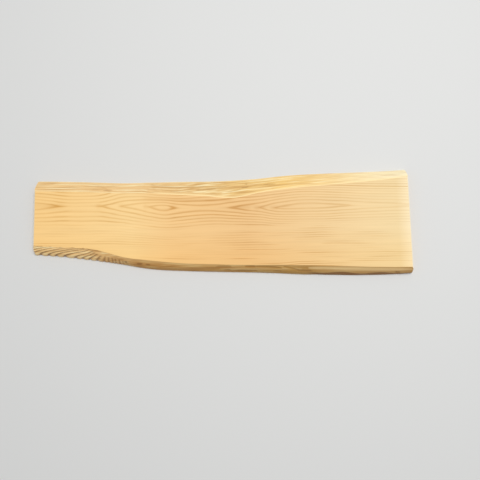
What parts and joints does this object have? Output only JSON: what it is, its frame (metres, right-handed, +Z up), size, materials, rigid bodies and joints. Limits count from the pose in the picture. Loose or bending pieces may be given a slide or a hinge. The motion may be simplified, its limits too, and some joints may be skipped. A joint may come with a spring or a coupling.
{
  "type": "live-edge timber plank",
  "caption": "Live-edge softwood plank with two planed flat faces, two wavy debarked long edges that bevel back from the show face, and square sawn ends.",
  "frame": {"origin": "middle of the plank's bounding box on its underside, the wide planed back face that it lies on", "axes": "+X along the length towards the wider end, +Y across the width towards the edge with the wider wane, +Z up out of the narrower show face"},
  "size_m": [1.5, 0.4292, 0.038],
  "materials": {
    "timber": "freshly planed pale softwood, unfinished"
  },
  "bodies": {
    "root": {"plank": "timber"}
  },
  "joints": []
}
